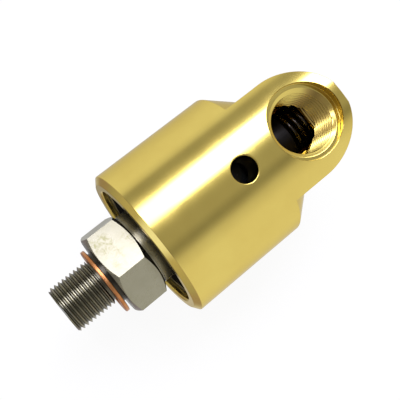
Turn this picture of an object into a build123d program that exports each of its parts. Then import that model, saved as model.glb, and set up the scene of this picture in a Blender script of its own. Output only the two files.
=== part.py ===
from build123d import *
from math import cos, radians, tan
import os

# A rotating union with one passage: a steel rotor screws into a turning spindle,
# and a brass housing stands still around it on two ball bearings and a face seal.
# Millimetres. +X runs along the rotor from its thread into the housing, +Z points
# out of the hose port, and the origin is the rotor's sealing shoulder on the axis.

# Rotor, outside
thread_diameter = 15.875
thread_length = 15.6
thread_chamfer = 0.7
thread_relief_depth = 0.99
thread_relief_length = 1.8
thread_pitch = 1.411
thread_depth = 0.866
thread_root_flat = 0.235
thread_crest_flat = 0.176
collar_step = 1.06
collar_length = 1.2
hex_flats = 27.0
hex_length = 12.2
hex_turn = 37.1
hex_chamfer_angle = 30.0
hex_near_trim = 0.2
hex_far_trim = 1.0
neck_step = 2.5
neck_length = 5.8
neck_relief_width = 0.5
neck_relief_depth = 0.8
rotor_bore = 9.5

# Sealing washer, which hangs to one side in the thread's relief
washer_play = 0.56
washer_width = 2.9
washer_thickness = 1.2
washer_hang = 0.7

# Bearings, deep groove, 20 x 42 x 12
bearing_bore = 20.0
bearing_diameter = 42.0
bearing_width = 12.0
bearing_chamfer = 0.6
ball_over_half_section = 0.85
ball_count = 9
race_gap_under_half_section = 0.9
ball_clearance = 0.08
cage_under_half_race_gap = 0.1
cage_over_ball = 1.25
bearing_seal_thickness = 0.6
bearing_seal_recess = 0.25
bearing_seal_clearance = 0.08
seat_clearance = 0.02

# Retaining rings
housing_ring_thickness = 1.75
housing_ring_groove_depth = 1.25
housing_ring_width = 3.6
housing_ring_lug = 3.2
rotor_ring_thickness = 1.2
rotor_ring_groove_depth = 0.5
rotor_ring_width = 2.6
rotor_ring_lug = 2.4
ring_groove_clearance = 0.1
ring_gap = 5.0
ring_hole_diameter = 2.0

# Rotor, inside the housing
slinger_height = 3.5
slinger_length = 3.0
slinger_gap = 0.3
nose_wall = 2.25
nose_length = 3.2
nose_groove_depth = 1.3
nose_groove_width = 1.6
nose_groove_start = 0.8
seat_margin = 2.0
seat_length = 3.6
seat_bore_clearance = 0.05

# Face seal
seal_face_gap = 0.05
carbon_bore = 13.0
carbon_diameter = 20.0
carbon_length = 3.0
carbon_stand = 0.8
carrier_flange_length = 3.2
carrier_bore = 11.0
carrier_clearance = 0.15
carrier_groove_width = 2.4
carrier_groove_depth = 1.8
carrier_groove_start = 1.2
o_ring_clearance = 0.03

# Anti-rotation pins
pin_diameter = 2.5
pin_depth = 5.0
pin_reach = 4.6
pin_inset = 2.25
pin_slot_clearance = 0.3
pin_count = 2

# Seal spring
spring_wire = 1.5
spring_clearance = 1.15
spring_length = 9.2
spring_pitch = 2.4
spring_end_clearance = 0.02

# Housing
housing_wall = 5.0
mouth_gap = 1.8
mouth_lead_in = 0.5
mouth_chamfer_radial = 2.1
mouth_chamfer_axial = 1.5
mouth_recess = 4.0
cavity_clearance = 1.5
cavity_length = 14.0
chamber_diameter = 17.5
chamber_past_port = 9.4
full_round_length = 41.4
cone_slope = 0.797
cone_end_inset = 1.0
tongue_wall = 8.25
tongue_length = 71.2
tip_flat_depth = 0.4

# Hose port and weep holes
port_from_tip = 14.2
port_diameter = 18.631
port_recess_margin = 1.2725
port_recess_depth = 3.3
port_entry_margin = 0.0725
port_entry_depth = 0.7
port_thread_pitch = 1.8143
port_thread_height = 1.162
port_root_flat = 0.302
port_crest_flat = 0.302
port_drill_step = 0.1655
port_drill_run_out = 2.25
port_overlap = 3.8
weep_from_bearing = 4.9
weep_diameter = 7.9
weep_edge_break = 0.3
overcut = 1.0


def axial_profile(points):
    """Close the given (x, radius) points into a face on the XZ plane."""
    with BuildLine() as outline:
        Polyline(*points, close=True)
    make_face(outline.edges())


# Diameters that follow from the driving sizes
collar_diameter = thread_diameter + 2 * collar_step
thread_relief_diameter = thread_diameter - 2 * thread_relief_depth
washer_bore = thread_diameter + 2 * washer_play
washer_diameter = washer_bore + 2 * washer_width
neck_diameter = bearing_bore + 2 * neck_step
bearing_section = (bearing_diameter - bearing_bore) / 2
ball_diameter = bearing_section / 2 + ball_over_half_section
race_gap = bearing_section / 2 - race_gap_under_half_section
cage_wall = race_gap / 2 - cage_under_half_race_gap
cage_width = ball_diameter + cage_over_ball
pitch_diameter = (bearing_bore + bearing_diameter) / 2
inner_shoulder_diameter = pitch_diameter - race_gap
outer_shoulder_diameter = pitch_diameter + race_gap
slinger_diameter = bearing_bore + 2 * slinger_height
cavity_diameter = slinger_diameter + 2 * cavity_clearance
nose_diameter = rotor_bore + 2 * nose_wall
nose_groove_diameter = nose_diameter - 2 * nose_groove_depth
seat_diameter = carbon_diameter + 2 * seat_margin
carrier_flange_diameter = cavity_diameter - 2 * cavity_clearance
pin_circle = cavity_diameter - 2 * pin_inset
spring_mean_diameter = chamber_diameter - spring_wire - 2 * spring_clearance
housing_diameter = bearing_diameter + 2 * housing_wall
tongue_width = chamber_diameter + 2 * tongue_wall
port_major_diameter = port_diameter + 2 * port_thread_height
port_entry_diameter = port_major_diameter + 2 * port_entry_margin
port_recess_diameter = port_major_diameter + 2 * port_recess_margin
port_drill_diameter = port_diameter - 2 * port_drill_step

# Stations along the axis
hex_start = collar_length
hex_end = hex_start + hex_length
neck_end = hex_end + neck_length
mouth = hex_end + mouth_gap
bearing_start = mouth + mouth_recess
bearing_middle = bearing_start + bearing_width
bearing_end = bearing_middle + bearing_width
cavity_end = bearing_end + cavity_length
tongue_end = mouth + tongue_length
port_centre = tongue_end - port_from_tip
chamber_end = port_centre + chamber_past_port
slinger_start = bearing_end + rotor_ring_thickness + slinger_gap
slinger_end = slinger_start + slinger_length
nose_start = slinger_end + slinger_gap
nose_end = nose_start + nose_length
seat_face = nose_start + seat_length
carbon_face = seat_face + seal_face_gap
carrier_face = carbon_face + carbon_stand
flange_end = carrier_face + carrier_flange_length
tail_end = chamber_end - spring_length

# Heights of the hose port above the rotor's axis
port_face = housing_diameter / 2 - port_recess_depth
port_thread_top = port_face - port_entry_depth
port_thread_bottom = chamber_diameter / 2 + port_drill_run_out

part_folder = "parts"
os.makedirs(part_folder, exist_ok=True)


def write(piece, name):
    """Label a finished piece and write its STEP file."""
    piece.part.label = name
    export_step(piece.part, f"{part_folder}/{name}.step")


def thread_turns(start, end, crest_radius, root_radius, pitch, crest_flat, root_flat):
    """Give the profile points of a thread's turns, as plain rings at its pitch."""
    flank = (pitch - crest_flat - root_flat) / 2
    points = []
    for turn in range(int((end - start) / pitch)):
        groove = start + turn * pitch + crest_flat / 2
        points += [
            (groove, crest_radius),
            (groove + flank, root_radius),
            (groove + flank + root_flat, root_radius),
            (groove + 2 * flank + root_flat, crest_radius),
        ]
    return points


# Rotor: thread, collar, hexagon, neck, bearing seats and nose in one turned piece
hex_corner = hex_flats / 2 / cos(radians(30))
chamfer_rise = tan(radians(hex_chamfer_angle))
hex_near_circle = hex_flats - 2 * hex_near_trim
hex_far_circle = hex_flats - 2 * hex_far_trim
near_corner = hex_start + (hex_corner - hex_near_circle / 2) * chamfer_rise
far_corner = hex_end - (hex_corner - hex_far_circle / 2) * chamfer_rise
rotor_groove_end = bearing_end + rotor_ring_thickness + ring_groove_clearance
nose_groove = nose_start + nose_groove_start
rotor_turns = thread_turns(
    -thread_length + thread_chamfer,
    -thread_relief_length,
    thread_diameter / 2,
    thread_diameter / 2 - thread_depth,
    thread_pitch,
    thread_crest_flat,
    thread_root_flat,
)
with BuildPart() as rotor:
    with BuildSketch(Plane.YZ.offset(hex_start)):
        RegularPolygon(hex_flats / 2, 6, major_radius=False, rotation=hex_turn)
    extrude(amount=hex_length)
    with BuildSketch(Plane.XZ):
        axial_profile([
            (hex_start, 0),
            (hex_start, hex_near_circle / 2),
            (near_corner, hex_corner),
            (far_corner, hex_corner),
            (hex_end, hex_far_circle / 2),
            (hex_end, 0),
        ])
    revolve(axis=Axis.X, mode=Mode.INTERSECT)
    with BuildSketch(Plane.XZ):
        axial_profile([
            (-thread_length, 0),
            (-thread_length, thread_diameter / 2 - thread_chamfer),
            (-thread_length + thread_chamfer, thread_diameter / 2),
            *rotor_turns,
            (-thread_relief_length, thread_diameter / 2),
            (-thread_relief_length, thread_relief_diameter / 2),
            (0, thread_relief_diameter / 2),
            (0, collar_diameter / 2),
            (hex_start, collar_diameter / 2),
            (hex_end, neck_diameter / 2 - neck_relief_depth),
            (hex_end + neck_relief_width, neck_diameter / 2 - neck_relief_depth),
            (hex_end + neck_relief_width, neck_diameter / 2),
            (neck_end, neck_diameter / 2),
            (neck_end, bearing_bore / 2 - seat_clearance),
            (bearing_end, bearing_bore / 2 - seat_clearance),
            (bearing_end, bearing_bore / 2 - rotor_ring_groove_depth),
            (rotor_groove_end, bearing_bore / 2 - rotor_ring_groove_depth),
            (rotor_groove_end, bearing_bore / 2 - seat_clearance),
            (nose_start, bearing_bore / 2 - seat_clearance),
            (nose_start, nose_diameter / 2),
            (nose_groove, nose_diameter / 2),
            (nose_groove, nose_groove_diameter / 2),
            (nose_groove + nose_groove_width, nose_groove_diameter / 2),
            (nose_groove + nose_groove_width, nose_diameter / 2),
            (nose_end, nose_diameter / 2),
            (nose_end, 0),
        ])
    revolve(axis=Axis.X)
    with BuildSketch(Plane.YZ.offset(-thread_length)):
        Circle(rotor_bore / 2)
    extrude(amount=thread_length + nose_end, mode=Mode.SUBTRACT)
write(rotor, "rotor")

# Sealing washer: a plain ring that hangs to one side on the thread, against the collar
with BuildPart() as sealing_washer:
    with BuildSketch(Plane.YZ):
        with Locations((-washer_hang, 0)):
            Circle(washer_diameter / 2)
            Circle(washer_bore / 2, mode=Mode.SUBTRACT)
    extrude(amount=-washer_thickness)
write(sealing_washer, "sealing_washer")


# Bearings: inner and outer rings with ball grooves, a cage, nine balls and two seals
def make_bearing(start, name):
    middle = start + bearing_width / 2
    end = start + bearing_width
    ball_radius = ball_diameter / 2
    groove_radius = ball_radius + ball_clearance
    ball_places = Plane.YZ.offset(middle)

    with BuildPart() as inner_ring:
        with BuildSketch(Plane.XZ):
            axial_profile([
                (start, bearing_bore / 2 + bearing_chamfer),
                (start, inner_shoulder_diameter / 2),
                (end, inner_shoulder_diameter / 2),
                (end, bearing_bore / 2 + bearing_chamfer),
                (end - bearing_chamfer, bearing_bore / 2),
                (start + bearing_chamfer, bearing_bore / 2),
            ])
            with Locations((middle, pitch_diameter / 2)):
                Circle(groove_radius, mode=Mode.SUBTRACT)
        revolve(axis=Axis.X)
    write(inner_ring, f"{name}_inner_ring")

    with BuildPart() as outer_ring:
        with BuildSketch(Plane.XZ):
            axial_profile([
                (start, outer_shoulder_diameter / 2),
                (start, bearing_diameter / 2 - bearing_chamfer),
                (start + bearing_chamfer, bearing_diameter / 2),
                (end - bearing_chamfer, bearing_diameter / 2),
                (end, bearing_diameter / 2 - bearing_chamfer),
                (end, outer_shoulder_diameter / 2),
            ])
            with Locations((middle, pitch_diameter / 2)):
                Circle(groove_radius, mode=Mode.SUBTRACT)
        revolve(axis=Axis.X)
    write(outer_ring, f"{name}_outer_ring")

    with BuildPart() as balls:
        with Locations(ball_places):
            with PolarLocations(pitch_diameter / 2, ball_count):
                Sphere(ball_radius)
    write(balls, f"{name}_balls")

    with BuildPart() as cage:
        with BuildSketch(Plane.YZ.offset(middle - cage_width / 2)):
            Circle(pitch_diameter / 2 + cage_wall / 2)
            Circle(pitch_diameter / 2 - cage_wall / 2, mode=Mode.SUBTRACT)
        extrude(amount=cage_width)
        with BuildSketch(ball_places):
            Circle(pitch_diameter / 2 + cage_wall)
            Circle(pitch_diameter / 2 - cage_wall, mode=Mode.SUBTRACT)
        with Locations(ball_places):
            with PolarLocations(0, ball_count):
                Cylinder(
                    groove_radius,
                    pitch_diameter / 2 + cage_wall,
                    rotation=(0, 90, 0),
                    align=(Align.CENTER, Align.CENTER, Align.MIN),
                    mode=Mode.SUBTRACT,
                )
    write(cage, f"{name}_cage")

    with BuildPart() as seals:
        for face in (start + bearing_seal_recess, end - bearing_seal_recess - bearing_seal_thickness):
            with BuildSketch(Plane.YZ.offset(face)):
                Circle(outer_shoulder_diameter / 2 - seat_clearance)
                Circle(inner_shoulder_diameter / 2 + bearing_seal_clearance, mode=Mode.SUBTRACT)
            extrude(amount=bearing_seal_thickness)
    write(seals, f"{name}_seals")


make_bearing(bearing_start, "front_bearing")
make_bearing(bearing_middle, "rear_bearing")


# Retaining rings: open rings with two pierced lugs beside the gap, which points down
def ring_sketch(outer_radius, inner_radius, lug_radius, ring_width):
    Circle(outer_radius)
    Circle(inner_radius, mode=Mode.SUBTRACT)
    lug_offset = ring_gap / 2 + ring_width / 2
    lug_places = [(side * lug_offset, -lug_radius) for side in (-1, 1)]
    with Locations(*lug_places):
        Circle(ring_width / 2 + ring_hole_diameter / 4)
    with Locations(*lug_places):
        Circle(ring_hole_diameter / 2, mode=Mode.SUBTRACT)
    with Locations((0, -outer_radius)):
        Rectangle(ring_gap, 2 * ring_width * 2, mode=Mode.SUBTRACT)


housing_ring_radius = bearing_diameter / 2 + housing_ring_groove_depth
housing_ring_start = bearing_start - housing_ring_thickness
with BuildPart() as housing_retaining_ring:
    with BuildSketch(Plane.YZ.offset(housing_ring_start)):
        ring_sketch(
            housing_ring_radius,
            housing_ring_radius - housing_ring_width,
            housing_ring_radius - housing_ring_width,
            housing_ring_lug,
        )
    extrude(amount=housing_ring_thickness)
write(housing_retaining_ring, "housing_retaining_ring")

rotor_ring_radius = bearing_bore / 2 - rotor_ring_groove_depth
with BuildPart() as rotor_retaining_ring:
    with BuildSketch(Plane.YZ.offset(bearing_end)):
        ring_sketch(
            rotor_ring_radius + rotor_ring_width,
            rotor_ring_radius,
            rotor_ring_radius + rotor_ring_width,
            rotor_ring_lug,
        )
    extrude(amount=rotor_ring_thickness)
write(rotor_retaining_ring, "rotor_retaining_ring")

# Slinger: a rubber ring with a thin lip that throws water off before the bearings
slinger_bore = bearing_bore / 2
with BuildPart() as slinger:
    with BuildSketch(Plane.XZ):
        axial_profile([
            (slinger_start, slinger_bore),
            (slinger_start, slinger_diameter / 2),
            (slinger_start + slinger_length / 4, slinger_diameter / 2),
            (slinger_start + slinger_length / 2, slinger_bore + slinger_length / 2),
            (slinger_end, slinger_bore + slinger_length / 2),
            (slinger_end, slinger_bore),
        ])
    revolve(axis=Axis.X)
write(slinger, "slinger")

# Seal seat: a hard ring on the rotor's nose, sealed there by an O-ring
with BuildPart() as seal_seat:
    with BuildSketch(Plane.XZ):
        axial_profile([
            (nose_start, nose_diameter / 2 + seat_bore_clearance),
            (nose_start, seat_diameter / 2),
            (seat_face, seat_diameter / 2),
            (seat_face, nose_diameter / 2 + seat_bore_clearance),
        ])
    revolve(axis=Axis.X)
write(seal_seat, "seal_seat")

seat_cord_radius = (nose_groove_depth + seat_bore_clearance) / 2 - o_ring_clearance
seat_cord_circle = nose_groove_diameter / 2 + seat_cord_radius + o_ring_clearance
with BuildPart() as seat_o_ring:
    with BuildSketch(Plane.XZ):
        with Locations((nose_groove + nose_groove_width / 2, seat_cord_circle)):
            Circle(seat_cord_radius)
    revolve(axis=Axis.X)
write(seat_o_ring, "seat_o_ring")

# Carbon ring: it stands out of the carrier and runs on the seal seat
carbon_end = carbon_face + carbon_length
with BuildPart() as carbon_ring:
    with BuildSketch(Plane.YZ.offset(carbon_face)):
        Circle(carbon_diameter / 2)
        Circle(carbon_bore / 2, mode=Mode.SUBTRACT)
    extrude(amount=carbon_length)
write(carbon_ring, "carbon_ring")

# Seal carrier: a flange that holds the carbon ring and a tube that slides in the housing
carrier_radius = chamber_diameter / 2 - carrier_clearance
carrier_groove = cavity_end + carrier_groove_start
carrier_groove_radius = carrier_radius - carrier_groove_depth
pin_places = PolarLocations(pin_circle / 2, pin_count)
with BuildPart() as seal_carrier:
    with BuildSketch(Plane.XZ):
        axial_profile([
            (carrier_face, carbon_diameter / 2 + seat_clearance),
            (carrier_face, carrier_flange_diameter / 2),
            (flange_end, carrier_flange_diameter / 2),
            (flange_end, carrier_radius),
            (carrier_groove, carrier_radius),
            (carrier_groove, carrier_groove_radius),
            (carrier_groove + carrier_groove_width, carrier_groove_radius),
            (carrier_groove + carrier_groove_width, carrier_radius),
            (tail_end, carrier_radius),
            (tail_end, carrier_bore / 2),
            (carbon_end, carrier_bore / 2),
            (carbon_end, carbon_diameter / 2 + seat_clearance),
        ])
    revolve(axis=Axis.X)
    with BuildSketch(Plane.YZ.offset(carrier_face)):
        with pin_places:
            Circle(pin_diameter / 2 + pin_slot_clearance)
    extrude(amount=carrier_flange_length, mode=Mode.SUBTRACT)
write(seal_carrier, "seal_carrier")

carrier_cord_radius = (carrier_groove_depth + carrier_clearance) / 2 - o_ring_clearance
carrier_cord_circle = carrier_groove_radius + carrier_cord_radius + o_ring_clearance
with BuildPart() as carrier_o_ring:
    with BuildSketch(Plane.XZ):
        with Locations((carrier_groove + carrier_groove_width / 2, carrier_cord_circle)):
            Circle(carrier_cord_radius)
    revolve(axis=Axis.X)
write(carrier_o_ring, "carrier_o_ring")

# Anti-rotation pins: pressed into the step behind the cavity, through the flange's slots
with BuildPart() as anti_rotation_pins:
    with BuildSketch(Plane.YZ.offset(cavity_end - pin_reach)):
        with pin_places:
            Circle(pin_diameter / 2)
    extrude(amount=pin_reach + pin_depth)
write(anti_rotation_pins, "anti_rotation_pins")

# Seal spring: ground flat at both ends, between the carrier's tail and the chamber's floor
spring_start = tail_end + spring_end_clearance
spring_end = chamber_end - spring_end_clearance
with BuildPart() as seal_spring:
    with BuildLine() as spring_path:
        Helix(
            spring_pitch,
            spring_end - spring_start,
            spring_mean_diameter / 2,
            center=(spring_start, 0, 0),
            direction=(1, 0, 0),
        )
    with BuildSketch(Plane(origin=spring_path.line @ 0, z_dir=spring_path.line % 0)):
        Circle(spring_wire / 2)
    sweep(path=spring_path.line, is_frenet=True)
    with BuildSketch(Plane.YZ.offset(spring_start)):
        Circle(spring_mean_diameter / 2 + spring_wire)
    extrude(amount=spring_end - spring_start, mode=Mode.INTERSECT)
write(seal_spring, "seal_spring")

# Housing: a turned cylinder with a milled tongue, bored from its mouth
housing_radius = housing_diameter / 2
cone_start = mouth + full_round_length
cone_end_diameter = tongue_width - 2 * cone_end_inset
cone_end = cone_start + (housing_diameter - cone_end_diameter) / 2 / cone_slope
arc_centre = tongue_end + tip_flat_depth - tongue_width / 2
weep_centre = bearing_end + weep_from_bearing
bore_radius = bearing_diameter / 2 + seat_clearance
port_floor = chamber_diameter / 2 - port_overlap
with BuildPart() as tongue_waste:
    with BuildSketch(Plane.YZ.offset(cone_start)):
        Rectangle(housing_diameter + 2 * overcut, housing_diameter + 2 * overcut)
    extrude(amount=tongue_end + overcut - cone_start)
    with BuildSketch(Plane.XY.offset(-housing_radius - overcut)):
        with Locations((arc_centre, 0)):
            Circle(tongue_width / 2)
            Rectangle(arc_centre - cone_start, tongue_width, align=(Align.MAX, Align.CENTER))
        with Locations((tongue_end, 0)):
            Rectangle(tongue_width, tongue_width, align=(Align.MIN, Align.CENTER), mode=Mode.SUBTRACT)
    extrude(amount=housing_diameter + 2 * overcut, mode=Mode.SUBTRACT)
    with BuildSketch(Plane.XY):
        axial_profile([
            (cone_start, 0),
            (cone_start, housing_radius),
            (cone_end, cone_end_diameter / 2),
            (cone_end, 0),
        ])
    revolve(axis=Axis.X, mode=Mode.SUBTRACT)

port_turns = thread_turns(
    port_thread_bottom,
    port_thread_top,
    port_diameter / 2,
    port_major_diameter / 2,
    port_thread_pitch,
    port_crest_flat,
    port_root_flat,
)
with BuildPart() as housing:
    with BuildSketch(Plane.XY):
        axial_profile([
            (mouth, 0),
            (mouth, housing_radius - mouth_chamfer_radial),
            (mouth + mouth_chamfer_axial, housing_radius),
            (tongue_end, housing_radius),
            (tongue_end, 0),
        ])
    revolve(axis=Axis.X)
    add(tongue_waste.part, mode=Mode.SUBTRACT)
    with BuildSketch(Plane.XY):
        axial_profile([
            (mouth, 0),
            (mouth, bore_radius + mouth_lead_in),
            (mouth + mouth_lead_in, bore_radius),
            (housing_ring_start - ring_groove_clearance, bore_radius),
            (housing_ring_start - ring_groove_clearance, housing_ring_radius + seat_clearance),
            (bearing_start, housing_ring_radius + seat_clearance),
            (bearing_start, bore_radius),
            (bearing_end, bore_radius),
            (bearing_end, cavity_diameter / 2),
            (cavity_end, cavity_diameter / 2),
            (cavity_end, chamber_diameter / 2),
            (chamber_end, chamber_diameter / 2),
            (chamber_end, 0),
        ])
    revolve(axis=Axis.X, mode=Mode.SUBTRACT)
    with BuildSketch(Plane.XZ):
        axial_profile([
            (port_centre, port_floor),
            (port_centre + port_drill_diameter / 2, port_floor),
            (port_centre + port_drill_diameter / 2, port_thread_bottom),
            (port_centre + port_diameter / 2, port_thread_bottom),
            *[(port_centre + radius, height) for height, radius in port_turns],
            (port_centre + port_diameter / 2, port_thread_top),
            (port_centre + port_entry_diameter / 2, port_face),
            (port_centre + port_recess_diameter / 2, port_face),
            (port_centre + port_recess_diameter / 2, housing_radius + overcut),
            (port_centre, housing_radius + overcut),
        ])
    revolve(axis=Axis((port_centre, 0, 0), (0, 0, 1)), mode=Mode.SUBTRACT)
    with BuildSketch(Plane.XZ):
        axial_profile([
            (weep_centre, -housing_radius - overcut),
            (weep_centre + weep_diameter / 2 + weep_edge_break, -housing_radius - overcut),
            (weep_centre + weep_diameter / 2 + weep_edge_break, -housing_radius),
            (weep_centre + weep_diameter / 2, -housing_radius + 2 * weep_edge_break),
            (weep_centre + weep_diameter / 2, housing_radius - 2 * weep_edge_break),
            (weep_centre + weep_diameter / 2 + weep_edge_break, housing_radius),
            (weep_centre + weep_diameter / 2 + weep_edge_break, housing_radius + overcut),
            (weep_centre, housing_radius + overcut),
        ])
    revolve(axis=Axis((weep_centre, 0, 0), (0, 0, 1)), mode=Mode.SUBTRACT)
    with BuildSketch(Plane.YZ.offset(cavity_end)):
        with pin_places:
            Circle(pin_diameter / 2 + seat_clearance)
    extrude(amount=pin_depth, mode=Mode.SUBTRACT)
write(housing, "housing")
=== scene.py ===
from math import cos, pi, radians, sin, tan, tau

import bmesh
import bpy
from mathutils import Matrix, Vector


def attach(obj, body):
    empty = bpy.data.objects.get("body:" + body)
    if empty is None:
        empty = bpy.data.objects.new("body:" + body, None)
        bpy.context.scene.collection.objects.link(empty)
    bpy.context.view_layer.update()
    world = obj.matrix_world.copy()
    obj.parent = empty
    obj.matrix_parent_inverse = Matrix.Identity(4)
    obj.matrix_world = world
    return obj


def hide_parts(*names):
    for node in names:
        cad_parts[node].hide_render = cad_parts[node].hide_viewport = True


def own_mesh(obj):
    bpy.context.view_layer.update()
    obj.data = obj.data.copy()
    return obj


# Rotating union: a steel rotor screws into a spindle, a brass housing stands still round it.
# The frame is metres, +X along the rotor from its thread into the housing, +Z out of the hose port.
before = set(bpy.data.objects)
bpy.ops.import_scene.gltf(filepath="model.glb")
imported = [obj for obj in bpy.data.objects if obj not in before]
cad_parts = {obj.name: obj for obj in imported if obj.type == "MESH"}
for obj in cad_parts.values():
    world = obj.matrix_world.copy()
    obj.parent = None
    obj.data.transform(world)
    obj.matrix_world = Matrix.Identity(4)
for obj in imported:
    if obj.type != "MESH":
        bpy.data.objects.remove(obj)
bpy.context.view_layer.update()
mm = 0.001
print("frame loaded")

scene = bpy.context.scene
scene.view_settings.view_transform = "Standard"


# Helpers

def spinOutline(points, axis, steps, pitch=0.0, turns=1.0, closed=True):
    # spins an outline of (along, radius) points in mm about the X or Z axis, with an advance per turn
    shell = bmesh.new()
    places = [
        Vector((along, 0, radius)) if axis == "X" else Vector((radius, 0, along))
        for along, radius in points
    ]
    corners = [shell.verts.new(place * mm) for place in places]
    count = len(corners)
    sideCount = count if closed else count - 1
    sides = [shell.edges.new((corners[i], corners[(i + 1) % count])) for i in range(sideCount)]
    direction = Vector((1, 0, 0)) if axis == "X" else Vector((0, 0, 1))
    allSteps = round(steps * turns)
    bmesh.ops.spin(
        shell, geom=corners + sides, cent=(0, 0, 0), axis=direction, angle=tau * turns,
        dvec=direction * (pitch * turns * mm / allSteps), steps=allSteps, use_merge=(pitch == 0),
    )
    bmesh.ops.remove_doubles(shell, verts=shell.verts, dist=1e-7)
    bmesh.ops.recalc_face_normals(shell, faces=shell.faces)
    return shell


def eased(points, steps=4):
    # a point (along, radius, ease) becomes a rounded corner that starts ease mm before and after it
    line = []
    for i, point in enumerate(points):
        corner = Vector(point[:2])
        if len(point) == 2:
            line.append(corner)
            continue
        before = Vector(points[i - 1][:2])
        after = Vector(points[(i + 1) % len(points)][:2])
        first = corner + (before - corner).normalized() * point[2]
        last = corner + (after - corner).normalized() * point[2]
        for share in (step / steps for step in range(steps + 1)):
            line.append(first.lerp(corner, share).lerp(corner.lerp(last, share), share))
    return [tuple(place) for place in line]


def drape(shell, radius, above):
    # lowers what is drawn at the top of a bar, so that it follows the bar's round
    for vert in shell.verts:
        if vert.co.z > above * mm:
            vert.co.z += ((radius * mm) ** 2 - vert.co.y ** 2) ** 0.5 - radius * mm
    return shell


def toObject(shell, name):
    # a finished bmesh becomes an object at the origin
    mesh = bpy.data.meshes.new(name)
    shell.to_mesh(mesh)
    shell.free()
    obj = bpy.data.objects.new(name, mesh)
    scene.collection.objects.link(obj)
    return obj


def takeShell(obj):
    # an object's mesh as a bmesh, and the object is gone
    shell = bmesh.new()
    shell.from_mesh(obj.data)
    bpy.data.objects.remove(obj)
    return shell


def cutWith(obj, shell, operation):
    # joins, cuts or keeps the common part of obj and another closed shell
    other = toObject(shell, "cutter")
    change = obj.modifiers.new("cut", "BOOLEAN")
    change.operation = operation
    change.solver = "EXACT"
    change.object = other
    applyModifiers(obj)
    bpy.data.objects.remove(other)


def applyModifiers(obj):
    graph = bpy.context.evaluated_depsgraph_get()
    graph.update()
    finished = bpy.data.meshes.new_from_object(obj.evaluated_get(graph))
    obj.modifiers.clear()
    old = obj.data
    obj.data = finished
    finished.name = obj.name
    bpy.data.meshes.remove(old)


def breakEdges(obj, width, chosen, segments=3, limit=20.0):
    # a small round on the chosen sharp edges, as left by deburring
    shell = bmesh.new()
    shell.from_mesh(obj.data)
    weld = 0.03             # mm, slivers that the cuts have left are closed up first
    bmesh.ops.remove_doubles(shell, verts=shell.verts, dist=weld * mm)
    edges = [
        edge for edge in shell.edges
        if edge.calc_face_angle(0) > radians(limit) and all(chosen(vert.co / mm) for vert in edge.verts)
    ]
    bmesh.ops.bevel(
        shell, geom=edges, offset=width * mm, offset_type="OFFSET", segments=segments, profile=0.5,
        affect="EDGES", clamp_overlap=False, material=-1,
    )
    shell.to_mesh(obj.data)
    shell.free()


def smoothShade(obj, limit=24.0):
    # smooth faces with sharp edges kept above the limit angle
    shell = bmesh.new()
    shell.from_mesh(obj.data)
    for face in shell.faces:
        face.smooth = True
    for edge in shell.edges:
        edge.smooth = len(edge.link_faces) == 2 and edge.calc_face_angle(0) < radians(limit)
    shell.to_mesh(obj.data)
    shell.free()


def linear(code):
    # sRGB hex to linear colour
    values = [int(code[i:i + 2], 16) / 255 for i in (1, 3, 5)]
    return [v / 12.92 if v <= 0.04045 else ((v + 0.055) / 1.055) ** 2.4 for v in values] + [1.0]


def addNode(tree, kind, settings=None, links=None):
    # settings are properties, input values or a ramp's stops; links name an input and the socket it reads
    node = tree.nodes.new(kind)
    for key, value in (settings or {}).items():
        if key == "stops":
            band = node.color_ramp
            while len(band.elements) < len(value):
                band.elements.new(0.5)
            for element, (place, colour) in zip(band.elements, value):
                element.position = place
                element.color = colour if isinstance(colour, list) else (colour, colour, colour, 1.0)
        elif isinstance(key, str) and hasattr(node, key):
            setattr(node, key, value)
        else:
            node.inputs[key].default_value = value
    for key, socket in (links or {}).items():
        tree.links.new(socket, node.inputs[key])
    return node


def newMaterial(name):
    material = bpy.data.materials.new(name)
    material.use_nodes = True
    tree = material.node_tree
    tree.nodes.clear()
    return material, tree


# Camera

cameraLook = {
    "place": (-9.70, 5.77, 208.37),     # mm, above the port, a little to the thread's side
    "target": (38.34, 0.49, 0.0),       # mm, the point at the picture's centre
    "upTurn": 50.79,                    # degrees from +X to +Y, the way that is up in the picture
    "lens": 60.83,                      # mm on a 36 mm sensor
}


def placeCamera():
    data = bpy.data.cameras.new("camera")
    data.lens = cameraLook["lens"]
    data.sensor_width = 36
    data.sensor_fit = "HORIZONTAL"
    data.clip_start = 0.01
    camera = bpy.data.objects.new("camera", data)
    scene.collection.objects.link(camera)
    place = Vector(cameraLook["place"]) * mm
    forward = (Vector(cameraLook["target"]) * mm - place).normalized()
    turn = radians(cameraLook["upTurn"])
    right = forward.cross(Vector((cos(turn), sin(turn), 0))).normalized()
    up = right.cross(forward)
    turned = Matrix((right, up, -forward)).transposed().to_4x4()
    camera.matrix_world = Matrix.Translation(place) @ turned
    scene.camera = camera


placeCamera()
print("camera placed")


# Shells for threads and prisms, sizes in mm

def capOpen(shell):
    # a face over every open rim, then all faces outwards
    bmesh.ops.holes_fill(shell, edges=[edge for edge in shell.edges if edge.is_boundary])
    bmesh.ops.recalc_face_normals(shell, faces=shell.faces)


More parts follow.
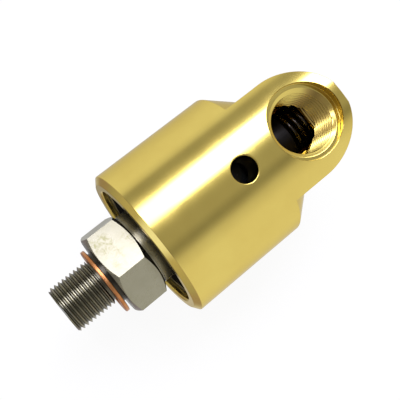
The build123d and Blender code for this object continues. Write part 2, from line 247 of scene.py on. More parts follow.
def threadShell(inner, outer, pitch, start, end, axis, steps, flats, ease):
    # a helical surface, its flats given as shares of the pitch, cut square at both ends and capped
    innerFlat, outerFlat = flats
    flank = (1 - innerFlat - outerFlat) / 2
    tooth = (
        (0, inner, ease[0]), (innerFlat, inner, ease[0]),
        (innerFlat + flank, outer, ease[1]), (innerFlat + flank + outerFlat, outer, ease[1]),
    )
    corners = []
    for turn in range(int((end - start) / pitch) + 3):
        for share, radius, soft in tooth:
            along = (turn - 1.5 + share) * pitch + start
            corners.append((along, radius, soft) if soft else (along, radius))
    line = eased(corners[1:-1], 2)
    shell = spinOutline(line, axis, steps, pitch=pitch, closed=False)
    direction = Vector((1, 0, 0)) if axis == "X" else Vector((0, 0, 1))
    for place, side in ((start, -1), (end, 1)):
        parts = shell.verts[:] + shell.edges[:] + shell.faces[:]
        cut = bmesh.ops.bisect_plane(
            shell, geom=parts, dist=1e-9, plane_co=direction * (place * mm), plane_no=direction * side,
            clear_outer=True,
        )
        rim = [item for item in cut["geom_cut"] if isinstance(item, bmesh.types.BMEdge)]
        bmesh.ops.edgeloop_fill(shell, edges=rim)
    bmesh.ops.remove_doubles(shell, verts=shell.verts, dist=1e-7)
    capOpen(shell)
    return shell


def prism(outline, low, high, axis):
    # an outline in mm, in XY for a Z prism or YZ for an X prism, drawn out from low to high
    shell = bmesh.new()
    if axis == "Z":
        corners = [shell.verts.new((a * mm, b * mm, low * mm)) for a, b in outline]
        way = Vector((0, 0, high - low)) * mm
    else:
        corners = [shell.verts.new((low * mm, a * mm, b * mm)) for a, b in outline]
        way = Vector((high - low, 0, 0)) * mm
    face = shell.faces.new(corners)
    grown = bmesh.ops.extrude_face_region(shell, geom=[face], use_keep_orig=True)
    moved = [item for item in grown["geom"] if isinstance(item, bmesh.types.BMVert)]
    bmesh.ops.translate(shell, verts=moved, vec=way)
    bmesh.ops.recalc_face_normals(shell, faces=shell.faces)
    return shell


def shifted(shell, x=0.0, y=0.0):
    bmesh.ops.translate(shell, verts=shell.verts, vec=(x * mm, y * mm, 0))
    return shell


def evenNormals(obj, limit=28.0):
    # large faces lead the shading, so flats stay flat and narrow edge rounds carry the turn
    smoothShade(obj, limit)
    even = obj.modifiers.new("even normals", "WEIGHTED_NORMAL")
    even.mode = "FACE_AREA"
    even.weight = 90
    even.keep_sharp = True
    applyModifiers(obj)


turnedLimits = {
    "spread": 0.99,     # cosine from a face's middle to its corners, round the axis
    "lean": 0.03,       # sine between a face and the round it belongs to
    "level": 0.012,     # mm that its corners may stand off one cone
}


def turnedNormals(obj, *centres):
    # shading on faces that were turned or bored follows the true round, about X or about Z at x in mm
    mesh = obj.data
    normals = [corner.vector.copy() for corner in mesh.corner_normals]
    for face in mesh.polygons:
        places = [mesh.vertices[i].co for i in face.vertices]
        for centre in centres:
            axis = Vector((1, 0, 0)) if centre == "X" else Vector((0, 0, 1))
            origin = Vector((0, 0, 0)) if centre == "X" else Vector((centre * mm, 0, 0))
            arms = [place - origin - axis * (place - origin).dot(axis) for place in places]
            middle = sum(arms, Vector()).normalized()
            if min(arm.normalized().dot(middle) for arm in arms) < turnedLimits["spread"]:
                continue
            if abs(face.normal.dot(axis.cross(middle))) > turnedLimits["lean"]:
                continue
            lift = face.normal.dot(axis)
            out = face.normal.dot(middle)
            level = [lift * place.dot(axis) + out * arm.length for place, arm in zip(places, arms)]
            if max(level) - min(level) > turnedLimits["level"] * mm:
                continue
            side = (1 - lift * lift) ** 0.5 * (1 if out > 0 else -1)
            for loop, arm in zip(face.loop_indices, arms):
                normals[loop] = axis * lift + arm.normalized() * side
            break
    mesh.normals_split_custom_set(normals)


# Housing: a turned bar with a milled tongue, bored from its mouth

housingSize = {             # mm, places along X and radii round it
    "mouth": 15.2, "radius": 26.0, "tip": 86.4,
    "mouthChamfer": (1.5, 2.1),             # along, radial
    "bore": 21.02, "leadIn": 0.5, "boreEnd": 43.2,
    "ringGroove": (17.35, 19.2, 22.27),     # start, end, radius
    "cavity": (57.2, 15.0), "chamber": (81.6, 8.75),        # end, radius
    "coneStart": 56.6, "coneSlope": 0.797, "coneEndRadius": 16.0,
    "tongueHalf": 17.0, "tongueStart": 48, "arcCentre": 69.8, "arcSteps": 128,
    "ease": 0.2, "edgeBreak": 0.22,
    "milledFrom": 51,       # no milled edge lies nearer to the mouth
    "stripEnd": 52.0,       # the bar's long facets end here, short of the milled edges
    "steps": 260,           # round the bar, so that no facet's border lies close to a milled edge
}


def makeHousing():
    h = housingSize
    radius = h["radius"]
    along, radial = h["mouthChamfer"]
    grooveStart, grooveEnd, grooveRadius = h["ringGroove"]
    cavityEnd, cavity = h["cavity"]
    chamberEnd, chamber = h["chamber"]
    soft = h["ease"]
    bar = spinOutline(eased([
        (chamberEnd, 0), (chamberEnd, chamber), (cavityEnd, chamber, soft), (cavityEnd, cavity),
        (h["boreEnd"], cavity, soft), (h["boreEnd"], h["bore"]), (grooveEnd, h["bore"], 0.1),
        (grooveEnd, grooveRadius), (grooveStart, grooveRadius), (grooveStart, h["bore"], 0.1),
        (h["mouth"] + h["leadIn"], h["bore"], soft), (h["mouth"], h["bore"] + h["leadIn"], soft),
        (h["mouth"], radius - radial, soft), (h["mouth"] + along, radius, soft), (h["stripEnd"], radius),
        (h["tip"], radius), (h["tip"], 0),
    ]), "X", h["steps"], closed=False)
    housing = toObject(bar, "union_housing")
    coneOver = 6            # how far the cone and the tongue are drawn past the bar
    tongueOver = 4
    coneEnd = h["coneStart"] + (radius - h["coneEndRadius"]) / h["coneSlope"]
    cone = toObject(spinOutline([
        (h["mouth"] - coneOver, 0), (h["mouth"] - coneOver, radius + coneOver),
        (h["coneStart"] - coneOver / h["coneSlope"], radius + coneOver),
        (coneEnd, h["coneEndRadius"]), (coneEnd, 0),
    ], "X", h["steps"], closed=False), "kept")
    half = h["tongueHalf"]
    arc = [radians(-90 + 180 * i / h["arcSteps"]) for i in range(h["arcSteps"] + 1)]
    rounded = [
        (min(h["arcCentre"] + half * cos(angle), h["tip"] + 0.0001), half * sin(angle)) for angle in arc
    ]
    root = h["tongueStart"]
    outline = [(root, -half)] + rounded + [(root, half)]
    tongue = prism(outline, -radius - tongueOver, radius + tongueOver, "Z")
    cutWith(cone, tongue, "UNION")
    cutWith(housing, takeShell(cone), "INTERSECT")
    return housing


housing = makeHousing()
print("housing turned and milled", len(housing.data.polygons))


portSize = {                # mm, heights along Z and radii round the port's axis at x
    "x": 72.2, "floor": 2.5, "drill": 9.15, "threadBottom": 4.6,
    "minor": 9.3155, "major": 10.4775, "pitch": 1.8143, "threadTop": 22.0, "entry": 10.55,
    "face": 22.7, "recess": 11.75, "flat": 0.1665, "ease": 0.13, "rim": 0.35,
    "overlap": 0.4,         # how far the plain bores reach into the thread's ends
    "inset": 1.2,           # how far the well stands inside the drill's wall, clear of the teeth
    "steps": 192, "threadSteps": 96,
}
weepSize = {"x": 48.1, "radius": 3.95, "edge": 0.7, "steps": 128}
pinSize = {"circle": 12.75, "radius": 1.27, "start": 56, "depth": 5.0, "steps": 32}
cutterPast = {"up": 3, "flare": 2}      # mm that the cutters stand past the bar, and widen above it


def bore(obj):
    # the hose port with its thread, the two weep holes and the pin holes
    p = portSize
    thread = threadShell(
        p["minor"], p["major"], p["pitch"], p["threadBottom"], p["threadTop"] + 0.3, "Z",
        p["threadSteps"], (p["flat"], p["flat"]), (p["ease"], 0),
    )
    cutWith(obj, shifted(thread, p["x"]), "DIFFERENCE")
    top = housingSize["radius"]
    end = top + cutterPast["up"]
    inside = p["drill"] - p["inset"]
    first = p["threadBottom"] + p["overlap"]
    last = p["threadTop"] - p["overlap"]
    wide = p["recess"] + cutterPast["flare"]
    well = spinOutline(eased([
        (p["floor"], 0), (p["floor"], p["drill"]), (first, p["drill"]), (first, inside), (last, inside),
        (last, p["minor"] - 0.7), (p["face"], p["entry"], 0.12), (p["face"], p["recess"], 0.2),
        (top, p["recess"], p["rim"]), (top + 0.3, wide), (end, wide), (end, 0),
    ]), "Z", p["steps"], closed=False)
    cutWith(obj, shifted(drape(well, top, p["face"] + 0.8), p["x"]), "DIFFERENCE")
    w = weepSize
    wide = w["radius"] + cutterPast["flare"]
    for side in (1, -1):
        hole = spinOutline(eased([
            (0, 0), (0, w["radius"]), (top + 0.01, w["radius"], w["edge"]),
            (top + 0.08, wide), (end, wide), (end, 0),
        ], 6), "Z", w["steps"], closed=False)
        drape(hole, top, top / 2)
        if side < 0:
            bmesh.ops.rotate(hole, verts=hole.verts, cent=(0, 0, 0), matrix=Matrix.Rotation(pi, 3, "X"))
        cutWith(obj, shifted(hole, w["x"]), "DIFFERENCE")
    bottom = housingSize["cavity"][0] + pinSize["depth"]
    for side in (-1, 1):
        pin = spinOutline([
            (pinSize["start"], 0), (pinSize["start"], pinSize["radius"]),
            (bottom, pinSize["radius"]), (bottom, 0),
        ], "X", pinSize["steps"], closed=False)
        cutWith(obj, shifted(pin, y=side * pinSize["circle"]), "DIFFERENCE")


def milledEdge(place):
    # the outside of the tongue and the cone, clear of the port and the weep holes
    fromPort = ((place.x - portSize["x"]) ** 2 + place.y ** 2) ** 0.5
    fromAxis = (place.y ** 2 + place.z ** 2) ** 0.5
    outside = place.x > housingSize["milledFrom"] and fromAxis > housingSize["coneEndRadius"]
    return outside and fromPort > portSize["recess"] + 1


bore(housing)
print("housing bored", len(housing.data.polygons))
breakEdges(housing, housingSize["edgeBreak"], milledEdge)
print("milled edges broken", len(housing.data.polygons))
evenNormals(housing)
turnedNormals(housing, "X", portSize["x"], weepSize["x"], housingSize["arcCentre"])
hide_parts("housing")
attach(housing, "housing")
print("housing finished", len(housing.data.polygons))


# Rotor: thread, collar, hexagon, neck, bearing seats and nose in one piece

rotorSize = {               # mm, places along X and radii round it
    "tip": -15.6, "bore": 4.75,
    "relief": (-1.8, 6.95), "collar": 8.9975,               # start, radius
    "hex": (1.2, 13.4), "flat": 13.5, "turn": 37.1,         # start, end; half across flats; degrees
    "nearCircle": 13.3, "farCircle": 12.5,                  # what the chamfers leave of its end faces
    "neckRelief": (13.9, 11.7), "neck": (19.2, 12.5),       # end, radius
    "seat": 9.98, "seatEnd": 48.0, "nose": (51.2, 7.0),
    "groove": (43.2, 44.5, 9.5), "noseGroove": (48.8, 50.4, 5.7),       # start, end, radius
    "crest": 7.9375, "root": 7.0715, "pitch": 1.411, "chamfer": 0.7,
    "threadFlats": (0.17, 0.125), "threadEase": (0, 0.07),      # root and crest: share of the pitch, mm
    "steps": 192, "threadSteps": 96, "boreSteps": 96,
}


def makeRotor():
    r = rotorSize
    hexStart, hexEnd = r["hex"]
    neckReliefEnd, neckReliefRadius = r["neckRelief"]
    neckEnd, neck = r["neck"]
    grooveStart, grooveEnd, grooveRadius = r["groove"]
    noseEnd, nose = r["nose"]
    noseGrooveStart, noseGrooveEnd, noseGroove = r["noseGroove"]
    reliefStart, relief = r["relief"]
    shaft = spinOutline([
        (reliefStart - 1.0, 0), (reliefStart - 1.0, relief), (0, relief), (0, r["collar"]),
        (hexEnd - 1.0, r["collar"]), (hexEnd - 1.0, neckReliefRadius), (neckReliefEnd, neckReliefRadius),
        (neckReliefEnd, neck), (neckEnd, neck), (neckEnd, r["seat"]), (grooveStart, r["seat"]),
        (grooveStart, grooveRadius), (grooveEnd, grooveRadius), (grooveEnd, r["seat"]),
        (r["seatEnd"], r["seat"]), (r["seatEnd"], nose), (noseGrooveStart, nose),
        (noseGrooveStart, noseGroove), (noseGrooveEnd, noseGroove), (noseGrooveEnd, nose),
        (noseEnd, nose), (noseEnd, 0),
    ], "X", r["steps"], closed=False)
    rotor = toObject(shaft, "union_rotor")

    corner = r["flat"] / cos(radians(30))
    turns = [radians(r["turn"] + 60 * i) for i in range(6)]
    outline = [(corner * cos(turn), corner * sin(turn)) for turn in turns]
    hexagon = toObject(prism(outline, hexStart, hexEnd, "X"), "hexagon")
    slope = tan(radians(30))
    wide = corner + 1
    # a barrel whose 30 degree cones trim the hexagon's corners to the circle at each end
    barrel = spinOutline([
        (hexStart - 1, 0), (hexStart - 1, r["nearCircle"] - 1 / slope),
        (hexStart + (wide - r["nearCircle"]) * slope, wide),
        (hexEnd - (wide - r["farCircle"]) * slope, wide),
        (hexEnd + 1, r["farCircle"] - 1 / slope), (hexEnd + 1, 0),
    ], "X", r["steps"], closed=False)
    cutWith(hexagon, barrel, "INTERSECT")
    cutWith(rotor, takeShell(hexagon), "UNION")

    thread = toObject(
        threadShell(
            r["root"], r["crest"], r["pitch"], r["tip"], reliefStart, "X",
            r["threadSteps"], r["threadFlats"], r["threadEase"],
        ), "thread",
    )
    chamferTop = r["tip"] + r["chamfer"]
    # the thread's blank: a 45 degree chamfer at the tip and a run-out into the relief
    envelope = spinOutline([
        (r["tip"] - 0.5, 0), (r["tip"] - 0.5, r["crest"] - r["chamfer"] - 0.5),
        (chamferTop + 0.5, r["crest"] + 0.5), (reliefStart - 0.3, r["crest"] + 0.5),
        (reliefStart + 0.6, r["crest"] - 1.0), (reliefStart + 0.6, 0),
    ], "X", r["steps"], closed=False)
    cutWith(thread, envelope, "INTERSECT")
    shell = takeShell(thread)
    capOpen(shell)
    cutWith(rotor, shell, "UNION")
    passage = spinOutline([
        (r["tip"] - 1, 0), (r["tip"] - 1, r["bore"] + 1.3), (r["tip"] + 0.3, r["bore"]),
        (noseEnd + 1, r["bore"]), (noseEnd + 1, 0),
    ], "X", r["boreSteps"], closed=False)
    cutWith(rotor, passage, "DIFFERENCE")
    return rotor


rotor = makeRotor()
print("rotor turned", len(rotor.data.polygons))
evenNormals(rotor)
turnedNormals(rotor, "X")
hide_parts("rotor")
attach(rotor, "rotor")
print("rotor finished", len(rotor.data.polygons))


# Sealing washer: soft copper with rounded edges, hanging to one side on the thread

washerSize = {
    "low": -1.2, "high": 0.0, "bore": 8.4975, "radius": 11.3975,
    "hang": -0.7, "round": 0.28,            # mm along Y, mm at its edges
    "steps": 160,
}


def makeWasher():
    w = washerSize
    soft = w["round"]
    outline = []
    for along, radius, first in (
        (w["low"] + soft, w["bore"] + soft, 180), (w["high"] - soft, w["bore"] + soft, 270),
        (w["high"] - soft, w["radius"] - soft, 0), (w["low"] + soft, w["radius"] - soft, 90),
    ):
        for i in range(5):
            turn = radians(first + 22.5 * i)
            outline.append((along + soft * cos(turn), radius + soft * sin(turn)))
    shell = spinOutline(outline, "X", w["steps"])
    return toObject(shifted(shell, y=w["hang"]), "union_sealing_washer")


washer = makeWasher()
smoothShade(washer, 60)
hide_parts("sealing_washer")
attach(washer, "rotor")


# Seal spring: round wire, ground flat at both ends

springSize = {"start": 72.42, "end": 81.58, "mean": 6.85, "wire": 0.75, "pitch": 2.4, "steps": 72}


def makeSpring():
    s = springSize
    ring = [tau * i / 20 for i in range(20)]
    wire = [(s["start"] + s["wire"] * cos(angle), s["mean"] + s["wire"] * sin(angle)) for angle in ring]
    turns = (s["end"] - s["start"]) / s["pitch"]
    shell = spinOutline(wire, "X", s["steps"], pitch=s["pitch"], turns=turns)
    capOpen(shell)
    for place, side in ((s["start"], -1), (s["end"], 1)):
        parts = shell.verts[:] + shell.edges[:] + shell.faces[:]
        bmesh.ops.bisect_plane(
            shell, geom=parts, dist=1e-9, plane_co=(place * mm, 0, 0), plane_no=(side, 0, 0),
            clear_outer=True,
        )
        capOpen(shell)
    return toObject(shell, "union_seal_spring")


spring = makeSpring()
smoothShade(spring, 50)
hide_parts("seal_spring")
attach(spring, "housing")
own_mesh(spring)
print("washer and spring made")


# Materials

def surface(name, look):
    # two tones that blend over a few millimetres, a polish that varies, and fine marks in the relief
    material, tree = newMaterial(name)
    place = addNode(tree, "ShaderNodeTexCoord").outputs["Object"]
    blend = addNode(tree, "ShaderNodeTexNoise", {
        "Scale": 1 / (look["toneSize"] * mm), "Detail": 4.0, "Roughness": 0.6,
    }, {"Vector": place})
    tone = addNode(tree, "ShaderNodeValToRGB", {
        "stops": [(0.3, linear(look["tones"][0])), (0.7, linear(look["tones"][1]))],
    }, {"Fac": blend.outputs[0]})
    wear = addNode(tree, "ShaderNodeTexNoise", {
        "Scale": 1 / (look["polishSize"] * mm), "Detail": 3.0,
    }, {"Vector": place})
    polish = addNode(tree, "ShaderNodeMapRange", {
        "From Min": 0.35, "From Max": 0.7, "To Min": look["roughness"][0], "To Max": look["roughness"][1],
    }, {"Value": wear.outputs[0]})
    stretched = addNode(tree, "ShaderNodeMapping", {
        "Scale": [1 / (size * mm) for size in look["markSize"]],
    }, {"Vector": place})
    marks = addNode(tree, "ShaderNodeTexNoise", {
        "Scale": 1.0, "Detail": 4.0, "Roughness": 0.6,
    }, {"Vector": stretched.outputs[0]})
    relief = addNode(tree, "ShaderNodeBump", {
        "Distance": look["markDepth"] * mm,
    }, {"Height": marks.outputs[0]})
    shader = addNode(tree, "ShaderNodeBsdfPrincipled", {
        "Metallic": look["metallic"], "Specular Tint": linear(look.get("edge", "#ffffff")),
    }, {"Base Color": tone.outputs[0], "Roughness": polish.outputs[0], "Normal": relief.outputs[0]})
    addNode(tree, "ShaderNodeOutputMaterial", links={"Surface": shader.outputs[0]})
    return material


def dress(obj, material):
    obj.data.materials.clear()
    obj.data.materials.append(material)
    for polygon in obj.data.polygons:
        polygon.material_index = 0


# free-cutting brass, turned bright: a pale gold mirror drawn out a little by the tool's rings round X
turnedBrass = surface("turned brass", {
    "tones": ("#d6be65", "#dcc66c"), "toneSize": 16, "metallic": 1.0, "edge": "#f2e9cf",
    "roughness": (0.14, 0.20), "polishSize": 11,
    "markSize": (0.25, 80, 80), "markDepth": 0.0006,     # rings drawn coarser than the real feed of 0.1 mm
})

# free-cutting steel, turned, with a thin oil film: grey olive with rings; its stains and painted shade are
# added below
turnedSteel = surface("turned steel", {
    "tones": ("#8f8b76", "#9c9884"), "toneSize": 16, "metallic": 1.0,
    "roughness": (0.22, 0.32), "polishSize": 7,
    "markSize": (0.2, 80, 80), "markDepth": 0.0008,
})

# annealed copper sheet, stamped and tumbled: dull orange with darker handling marks
softCopper = surface("stamped copper", {
    "tones": ("#a9683a", "#c98f5a"), "toneSize": 3, "metallic": 1.0,
    "roughness": (0.29, 0.42), "polishSize": 3,
    "markSize": (0.3, 2, 2), "markDepth": 0.002,
})

# drawn stainless wire, coiled: painted dark as painted shade for the inside of the port, glossy with die
# lines along the wire
shadedSpringSteel = surface("drawn spring steel", {
    "tones": ("#45413c", "#514c46"), "toneSize": 4, "metallic": 1.0,
    "roughness": (0.18, 0.28), "polishSize": 3,
    "markSize": (0.5, 6, 6), "markDepth": 0.0005,
})

# stainless steel, turned, painted nearly black as painted shade for the dark inside of the port, with faint
# rings
shadedStainless = surface("stainless steel darkened as shade", {
    "tones": ("#232120", "#2c2a28"), "toneSize": 5, "metallic": 1.0,
    "roughness": (0.42, 0.58), "polishSize": 5,
    "markSize": (0.3, 40, 40), "markDepth": 0.0008,
})

# through-hardened bearing steel, ground and honed: cool and mirror bright, with hardly visible rings
groundSteel = surface("ground bearing steel", {
    "tones": ("#b3b3b0", "#bfbfbc"), "toneSize": 6, "metallic": 1.0,
    "roughness": (0.12, 0.19), "polishSize": 4,
    "markSize": (0.15, 40, 40), "markDepth": 0.0003,
})

# carbon spring steel, stamped and phosphated: charcoal crystals of about 0.1 mm, half matt from the oil
phosphatedSteel = surface("phosphated spring steel", {
    "tones": ("#1c1b1a", "#2b2a28"), "toneSize": 0.8, "metallic": 0.6,
    "roughness": (0.36, 0.52), "polishSize": 1.5,
    "markSize": (0.12, 0.12, 0.12), "markDepth": 0.003,
})

# nitrile rubber, moulded: matt black, a little grey where the mould's grain of 0.2 mm catches light
mouldedRubber = surface("moulded nitrile rubber", {
    "tones": ("#121212", "#1d1d1c"), "toneSize": 1.5, "metallic": 0.0,
    "roughness": (0.5, 0.66), "polishSize": 1.2,
    "markSize": (0.2, 0.2, 0.2), "markDepth": 0.006,
})

# glass-filled nylon, moulded: ivory, clouded by its short fibres of about 0.3 mm
mouldedNylon = surface("moulded glass-filled nylon", {
    "tones": ("#cfc5a2", "#ded6b8"), "toneSize": 1.2, "metallic": 0.0,
    "roughness": (0.42, 0.58), "polishSize": 1,
    "markSize": (0.3, 0.3, 0.3), "markDepth": 0.004,
})

# silicon carbide, sintered and lapped: dark blue grey and smooth, with grains of about 0.3 mm just visible
lappedCarbide = surface("lapped silicon carbide", {
    "tones": ("#26282b", "#34373a"), "toneSize": 0.3, "metallic": 0.0,
    "roughness": (0.18, 0.3), "polishSize": 0.8,
    "markSize": (0.3, 0.3, 0.3), "markDepth": 0.0005,
})

# carbon graphite, pressed and lapped: black with a soft grey sheen and open pores of about 0.25 mm
lappedCarbon = surface("lapped carbon graphite", {
    "tones": ("#151517", "#222224"), "toneSize": 0.4, "metallic": 0.0,
    "roughness": (0.28, 0.42), "polishSize": 0.8,
    "markSize": (0.25, 0.25, 0.25), "markDepth": 0.001,
})


# olive stains on the hexagon, and painted shade in the corner behind the washer and in the thread's roots
stainAndShadeLook = {
    "colour": "#77744a",
    "blotch": 1.6, "cloud": 7.0,            # mm, the dried oil's blotches, and the areas where they gather
    "sideFrom": -1.0, "sideTo": 6.0,        # mm along Y, most of it dried on one side
    "cornerShade": "#2a2622",
    # the colour of the painted shade, in the corner behind the washer and in the thread's roots
    "cornerShadeFrom": -0.3, "cornerShadeTo": 1.25,     # mm along X, painted shade in the corner behind the washer
    # share of painted shade in the thread's roots
    "rootShade": 0.6,
    "rootFrom": 7.1, "rootTo": 7.6,         # mm from the axis, painted shade in the thread's roots, at its full share on all that lies nearer the axis
}


def stainAndShadeSteel(material):
    # dried oil on the hexagon in olive blotches, painted shade in the corner between it and the washer, and
    # painted shade in the thread's roots
    tree = material.node_tree
    shader = next(node for node in tree.nodes if node.type == "BSDF_PRINCIPLED")
    tone = shader.inputs["Base Color"].links[0].from_socket
    place = addNode(tree, "ShaderNodeTexCoord").outputs["Object"]
    blotch = addNode(tree, "ShaderNodeTexNoise", {
        "Scale": 1 / (stainAndShadeLook["blotch"] * mm), "Detail": 6.0, "Roughness": 0.7, "Distortion": 0.6,
    }, {"Vector": place})
    cloud = addNode(tree, "ShaderNodeTexNoise", {
        "Scale": 1 / (stainAndShadeLook["cloud"] * mm), "Detail": 2.0,
    }, {"Vector": place})
    spots = addNode(tree, "ShaderNodeValToRGB", {
        "stops": [(0.46, 0.0), (0.62, 0.8)],
    }, {"Fac": blotch.outputs[0]})
    area = addNode(tree, "ShaderNodeValToRGB", {
        "stops": [(0.42, 0.1), (0.6, 1.0)],
    }, {"Fac": cloud.outputs[0]})
    along = addNode(tree, "ShaderNodeSeparateXYZ", links={"Vector": place})
    side = addNode(tree, "ShaderNodeMapRange", {
        "From Min": stainAndShadeLook["sideFrom"] * mm, "From Max": stainAndShadeLook["sideTo"] * mm, "To Min": 0.2,
    }, {"Value": along.outputs["Y"]})
    gathered = addNode(tree, "ShaderNodeMath", {
        "operation": "MULTIPLY",
    }, {0: area.outputs[0], 1: side.outputs[0]})
    share = addNode(tree, "ShaderNodeMath", {
        "operation": "MULTIPLY",
    }, {0: spots.outputs[0], 1: gathered.outputs[0]})
    stained = addNode(tree, "ShaderNodeMix", {
        "data_type": "RGBA", 7: linear(stainAndShadeLook["colour"]),
    }, {0: share.outputs[0], 6: tone})
    # painted shade: the corner between the hexagon and the washer darkened, as if in shade
    first = stainAndShadeLook["cornerShadeFrom"] * mm
    last = stainAndShadeLook["cornerShadeTo"] * mm
    corner = addNode(tree, "ShaderNodeMapRange", {
        "From Min": first, "From Max": last,
    }, {"Value": along.outputs["X"]})
    band = addNode(tree, "ShaderNodeValToRGB", {
        "stops": [(0.0, 0.0), (0.15, 0.9), (0.95, 0.9), (1.0, 0.0)],
    }, {"Fac": corner.outputs[0]})
    across = addNode(tree, "ShaderNodeCombineXYZ", links={"Y": along.outputs["Y"], "Z": along.outputs["Z"]})
    radius = addNode(tree, "ShaderNodeVectorMath", {"operation": "LENGTH"}, {0: across.outputs[0]})
    # painted shade: the thread's roots, and all that lies nearer the axis, darkened as if in shade
    root = addNode(tree, "ShaderNodeMapRange", {
        "From Min": stainAndShadeLook["rootFrom"] * mm, "From Max": stainAndShadeLook["rootTo"] * mm,
        "To Min": stainAndShadeLook["rootShade"], "To Max": 0.0,
    }, {"Value": radius.outputs["Value"]})
    shadeShare = addNode(tree, "ShaderNodeMath", {
        "operation": "MAXIMUM",
    }, {0: band.outputs[0], 1: root.outputs[0]})
    shaded = addNode(tree, "ShaderNodeMix", {
        "data_type": "RGBA", 7: linear(stainAndShadeLook["cornerShade"]),
    }, {0: shadeShare.outputs[0], 6: stained.outputs[2]})
    tree.links.new(shaded.outputs[2], shader.inputs["Base Color"])


# painted shade on the weep holes' walls: its colour and share, and where it fades out
weepShadeLook = {"wallShade": "#1d1812", "share": 0.9, "from": 3.95, "to": 4.08}       # mm from the hole's axis


# painted shade: the weep holes' walls darkened nearly to black, as if in shade
def shadeWeepHoles(material):
    # what has leaked past the seal has dried dark on the weep holes' walls
    tree = material.node_tree
    shader = next(node for node in tree.nodes if node.type == "BSDF_PRINCIPLED")
    tone = shader.inputs["Base Color"].links[0].from_socket
    place = addNode(tree, "ShaderNodeTexCoord").outputs["Object"]
    shift = addNode(tree, "ShaderNodeMapping", {
        "Location": (-weepSize["x"] * mm, 0, 0), "Scale": (1, 1, 0),
    }, {"Vector": place})
    distance = addNode(tree, "ShaderNodeVectorMath", {"operation": "LENGTH"}, {0: shift.outputs[0]})
    share = addNode(tree, "ShaderNodeMapRange", {
        "From Min": weepShadeLook["from"] * mm, "From Max": weepShadeLook["to"] * mm,
        "To Min": weepShadeLook["share"], "To Max": 0.0,
    }, {"Value": distance.outputs["Value"]})
    shaded = addNode(tree, "ShaderNodeMix", {
        "data_type": "RGBA", 7: linear(weepShadeLook["wallShade"]),
    }, {0: share.outputs[0], 6: tone})
    tree.links.new(shaded.outputs[2], shader.inputs["Base Color"])


stainAndShadeSteel(turnedSteel)
shadeWeepHoles(turnedBrass)
print("materials made")

finishes = {
    turnedBrass: ["union_housing"],
    turnedSteel: ["union_rotor"],
    softCopper: ["union_sealing_washer"],
    shadedSpringSteel: ["union_seal_spring"],
    shadedStainless: ["seal_carrier", "anti_rotation_pins"],
    groundSteel: [
        "front_bearing_inner_ring", "front_bearing_outer_ring", "front_bearing_balls",
        "rear_bearing_inner_ring", "rear_bearing_outer_ring", "rear_bearing_balls",
    ],
    phosphatedSteel: ["housing_retaining_ring", "rotor_retaining_ring"],
    mouldedRubber: [
        "front_bearing_seals", "rear_bearing_seals", "seat_o_ring", "carrier_o_ring", "slinger",
    ],
    mouldedNylon: ["front_bearing_cage", "rear_bearing_cage"],
    lappedCarbide: ["seal_seat"],
    lappedCarbon: ["carbon_ring"],
}
for finish, names in finishes.items():
    for name in names:
        dress(bpy.data.objects[name], finish)
print("pieces dressed")


# Floor: pale paper under the housing, which shows white and keeps a faint shadow

floorLook = {"level": -26.2, "half": 600, "centre": 36, "shadow": 0.08}


def layFloor():
    shell = bmesh.new()
    bmesh.ops.create_grid(shell, x_segments=1, y_segments=1, size=floorLook["half"] * mm)
    bmesh.ops.translate(
        shell, verts=shell.verts, vec=(floorLook["centre"] * mm, 0, floorLook["level"] * mm),
    )
    floor = toObject(shell, "floor")
    material, tree = newMaterial("pale paper")
    path = addNode(tree, "ShaderNodeLightPath")
    glow = addNode(tree, "ShaderNodeEmission", {"Color": (1, 1, 1, 1), "Strength": 1.0})
    paper = addNode(tree, "ShaderNodeBsdfDiffuse", {"Color": (0.9, 0.9, 0.9, 1)})
    shown = addNode(tree, "ShaderNodeMixShader", {
        0: floorLook["shadow"],
    }, {1: glow.outputs[0], 2: paper.outputs[0]})
    # the metal mirrors the room through the floor, which has its bands all round
    clear = addNode(tree, "ShaderNodeBsdfTransparent")
    passed = addNode(tree, "ShaderNodeMath", {
        "operation": "MAXIMUM",
    }, {0: path.outputs["Is Glossy Ray"], 1: path.outputs["Is Shadow Ray"]})
    mixed = addNode(tree, "ShaderNodeMixShader", links={
        0: passed.outputs[0], 1: shown.outputs[0], 2: clear.outputs[0],
    })
    addNode(tree, "ShaderNodeOutputMaterial", links={"Surface": mixed.outputs[0]})
    floor.data.materials.append(material)
    return floor


floor = layFloor()
print("floor laid")


# Light: a pale room with dark screens and one long lamp over the bar, all in the world

worldLook = {
    # angle round the X axis from +Z towards +Y in degrees, and the brightness of the room there
    "room": [
        (-180, 0.7), (-165, 0.76), (-135, 0.94), (-120, 1.0), (-60, 1.0), (-42, 0.78), (-33, 0.44),
        (-27, 0.32), (-15, 0.50), (3, 0.46), (12, 0.70), (18, 1.0), (50, 1.0), (56, 0.6), (63, 0.44),
        (72, 0.44), (79, 0.85), (88, 1.0), (110, 0.97), (140, 0.82), (165, 0.66), (180, 0.42),
    ],
    "lamp": [(16, 0.0), (20, 1.0), (43.5, 1.0), (48.5, 0.0)],       # the same angle
    "lampColour": "#e3e4fa",
    "power": 11.0,
    # share of the lamp by the X part of the way it is seen, from the thread's side to the port's
    "reach": [
        (-0.54, 0.0), (-0.51, 0.9), (-0.455, 0.9), (-0.42, 0.0), (-0.18, 0.0), (-0.13, 0.95),
        (-0.05, 0.95), (0.0, 0.45), (0.04, 0.45), (0.10, 0.5), (0.22, 0.83), (0.60, 1.0), (0.75, 0.0),
    ],
    # the room is darker and a little warmer towards the thread's side
    "shade": [(-0.6, 0.56), (-0.3, 0.56), (-0.1, 1.0)],
    "tint": [(-0.62, "#ffffff"), (-0.5, "#ffedfa"), (-0.3, "#ffedfa"), (-0.18, "#ffffff")],
    # what is seen straight along the bar: a pale wall behind the thread, a dim one past the tip
    "ends": [(-0.97, "#c5ccea"), (-0.93, "#8f8b83"), (0.95, "#968f86")],
    "endPower": 2.3,
    "endShare": [(-0.9, 1.0), (-0.6, 0.0), (0.6, 0.0), (0.9, 1.0)],
}


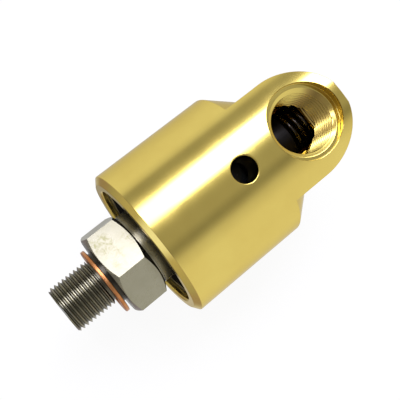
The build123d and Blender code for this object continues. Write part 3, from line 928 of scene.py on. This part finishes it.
def makeWorld():
    world = bpy.data.worlds.new("studio")
    scene.world = world
    world.use_nodes = True
    tree = world.node_tree
    tree.nodes.clear()
    way = addNode(tree, "ShaderNodeTexCoord")
    parts = addNode(tree, "ShaderNodeSeparateXYZ", links={"Vector": way.outputs["Generated"]})
    angle = addNode(tree, "ShaderNodeMath", {
        "operation": "ARCTAN2",
    }, {0: parts.outputs["Y"], 1: parts.outputs["Z"]})
    turn = addNode(tree, "ShaderNodeMapRange", {
        "From Min": -pi, "From Max": pi,
    }, {"Value": angle.outputs[0]})
    along = addNode(tree, "ShaderNodeMapRange", {
        "From Min": -1, "From Max": 1,
    }, {"Value": parts.outputs["X"]})
    bands = {}
    for keys, reach, source in (
        (("room", "lamp"), 180, turn), (("reach", "shade", "tint", "ends", "endShare"), 1, along),
    ):
        for key in keys:
            stops = [
                ((place + reach) / (reach + reach), linear(value) if isinstance(value, str) else value)
                for place, value in worldLook[key]
            ]
            band = addNode(tree, "ShaderNodeValToRGB", {"stops": stops}, {"Fac": source.outputs[0]})
            bands[key] = band.outputs[0]
    roomLevel = addNode(tree, "ShaderNodeMath", {
        "operation": "MULTIPLY",
    }, {0: bands["room"], 1: bands["shade"]})
    lampShare = addNode(tree, "ShaderNodeMath", {
        "operation": "MULTIPLY",
    }, {0: bands["lamp"], 1: bands["reach"]})
    lampLevel = addNode(tree, "ShaderNodeMath", {
        "operation": "MULTIPLY", 1: worldLook["power"],
    }, {0: lampShare.outputs[0]})
    room = addNode(tree, "ShaderNodeBackground", links={
        "Color": bands["tint"], "Strength": roomLevel.outputs[0],
    })
    lamp = addNode(tree, "ShaderNodeBackground", {
        "Color": linear(worldLook["lampColour"]),
    }, {"Strength": lampLevel.outputs[0]})
    around = addNode(tree, "ShaderNodeAddShader", links={0: room.outputs[0], 1: lamp.outputs[0]})
    ends = addNode(tree, "ShaderNodeBackground", {
        "Strength": worldLook["endPower"],
    }, {"Color": bands["ends"]})
    studio = addNode(tree, "ShaderNodeMixShader", links={
        0: bands["endShare"], 1: around.outputs[0], 2: ends.outputs[0],
    })
    # the camera and clear materials see white; metal sees the room, whose bands give it its form
    paper = addNode(tree, "ShaderNodeBackground", {"Color": (1, 1, 1, 1), "Strength": 1.0})
    path = addNode(tree, "ShaderNodeLightPath")
    seen = addNode(tree, "ShaderNodeMath", {
        "operation": "MAXIMUM",
    }, {0: path.outputs["Is Camera Ray"], 1: path.outputs["Is Transmission Ray"]})
    mixed = addNode(tree, "ShaderNodeMixShader", links={
        0: seen.outputs[0], 1: studio.outputs[0], 2: paper.outputs[0],
    })
    addNode(tree, "ShaderNodeOutputWorld", links={"Surface": mixed.outputs[0]})


makeWorld()
print("light made")
